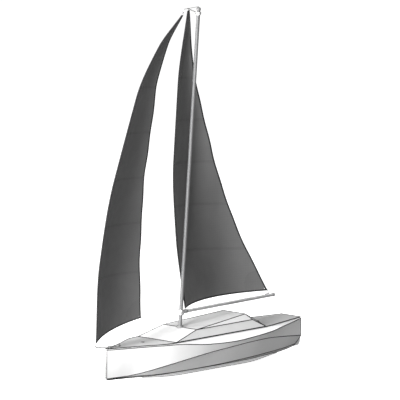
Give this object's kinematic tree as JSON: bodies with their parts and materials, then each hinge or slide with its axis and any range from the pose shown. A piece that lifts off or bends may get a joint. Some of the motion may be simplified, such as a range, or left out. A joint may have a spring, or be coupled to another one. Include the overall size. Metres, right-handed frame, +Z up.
{
  "type": "rc sailboat",
  "caption": "Model sailing yacht with a hard-chine hull, lift-off coachroof, raked mast, swinging boom and mainsail, free jib, rudder and sheet winch inside.",
  "frame": {"origin": "middle of the flat underside of the ballast keel, on the centreline", "axes": "+X towards the bow, +Y to port, +Z up"},
  "size_m": [0.7216, 0.166, 0.8867],
  "materials": {
    "hull_white": "moulded white, glossy",
    "deck_grey": "light grey, satin",
    "roof_grey": "pale grey, satin",
    "keel_paint": "cast ballast, painted white",
    "ballast_grey": "cast ballast, dull grey",
    "spar_aluminium": "drawn tube, satin anodised",
    "stainless_steel": "drawn stainless wire and small turned parts",
    "sail_grey": "dark grey sailcloth, fine plain weave",
    "black_plastic": "moulded black nylon",
    "servo_black": "black servo case",
    "seal_rubber": "soft black rubber",
    "plywood": "birch plywood, sealed",
    "battery_wrap": "blue shrink wrap"
  },
  "bodies": {
    "hull": {"hull_shell": "hull_white", "deck": "deck_grey", "hatch_coaming": "deck_grey", "cabin_front": "roof_grey", "ballast_keel": "keel_paint", "ballast_bar": "ballast_grey", "mast": "spar_aluminium", "jib_crane": "stainless_steel", "bowsprit": "stainless_steel", "upper_gudgeon": "stainless_steel", "lower_gudgeon": "stainless_steel", "winch_screw_1": "stainless_steel", "winch_screw_2": "stainless_steel", "winch_screw_3": "stainless_steel", "winch_screw_4": "stainless_steel", "rudder_servo_screw_1": "stainless_steel", "rudder_servo_screw_2": "stainless_steel", "mast_cap": "black_plastic", "sprit_clamp_front": "black_plastic", "sprit_clamp_rear": "black_plastic", "jib_sheet_exit": "black_plastic", "main_sheet_exit": "black_plastic", "receiver": "black_plastic", "power_switch": "black_plastic", "winch_servo": "servo_black", "rudder_servo": "servo_black", "hatch_seal": "seal_rubber", "mast_collar": "seal_rubber", "battery_strap": "seal_rubber", "pushrod_boot": "seal_rubber", "drain_plug": "seal_rubber", "fore_bulkhead": "plywood", "mid_bulkhead": "plywood", "aft_bulkhead": "plywood", "radio_tray": "plywood", "mast_step": "plywood", "battery_pack": "battery_wrap"},
    "main_rig": {"gooseneck": "spar_aluminium", "boom": "spar_aluminium", "boom_front_cap": "black_plastic", "boom_end_cap": "black_plastic", "main_sail": "sail_grey", "main_luff_rod": "stainless_steel", "outhaul_hook": "stainless_steel", "masthead_swivel": "stainless_steel"},
    "jib": {"jib_sail": "sail_grey", "jib_luff_rod": "stainless_steel", "jib_tack_swivel": "stainless_steel", "jib_head_swivel": "stainless_steel", "jib_clew_ring": "stainless_steel"},
    "cabin_lid": {"cabin_hatch": "roof_grey"},
    "rudder": {"rudder_blade": "hull_white", "rudder_stock": "stainless_steel", "tiller_arm": "black_plastic"},
    "steering_horn": {"servo_horn": "hull_white", "horn_screw": "stainless_steel"},
    "steering_rod": {"rudder_pushrod": "stainless_steel"},
    "sheet_winch": {"winch_drum": "black_plastic", "drum_screw": "stainless_steel"},
    "switch_slider": {"switch_lever": "hull_white"}
  },
  "joints": [
    {"name": "rig_swing", "type": "hinge", "parent": "hull", "child": "main_rig", "pos_m": [0.112, 0, 0.1136], "axis": [-0.0849, 0, 0.9964], "range_deg": [-70, 70]},
    {"name": "jib_swing", "type": "hinge", "parent": "hull", "child": "jib", "pos_m": [0.406, 0, 0.112], "axis": [-0.3682, 0, 0.9297], "range_deg": [-50, 50]},
    {"name": "lid_lift", "type": "slide", "parent": "hull", "child": "cabin_lid", "axis": [0, 0, 1], "range_m": [0, 0.014]},
    {"name": "rudder_turn", "type": "hinge", "parent": "hull", "child": "rudder", "pos_m": [-0.286, 0, 0.06], "axis": [0, 0, 1], "range_deg": [-30, 30]},
    {"name": "servo_turn", "type": "hinge", "parent": "hull", "child": "steering_horn", "pos_m": [-0.10983, 0, 0.06], "axis": [0, 0, 1], "range_deg": [-31, 31]},
    {"name": "pushrod_pivot", "type": "hinge", "parent": "steering_horn", "child": "steering_rod", "pos_m": [-0.10983, -0.008, 0.06], "axis": [0, 0, 1], "range_deg": [-31, 31]},
    {"name": "winch_turn", "type": "hinge", "parent": "hull", "child": "sheet_winch", "pos_m": [0.037, 0, 0.07], "axis": [0, 0, 1], "continuous": true},
    {"name": "switch_slide", "type": "slide", "parent": "hull", "child": "switch_slider", "axis": [-1, 0, 0], "range_m": [0, 0.004]}
  ],
  "couplings": [
    {"joint": "servo_turn", "follows": "rudder_turn", "ratio": 1},
    {"joint": "pushrod_pivot", "follows": "rudder_turn", "ratio": -1}
  ]
}
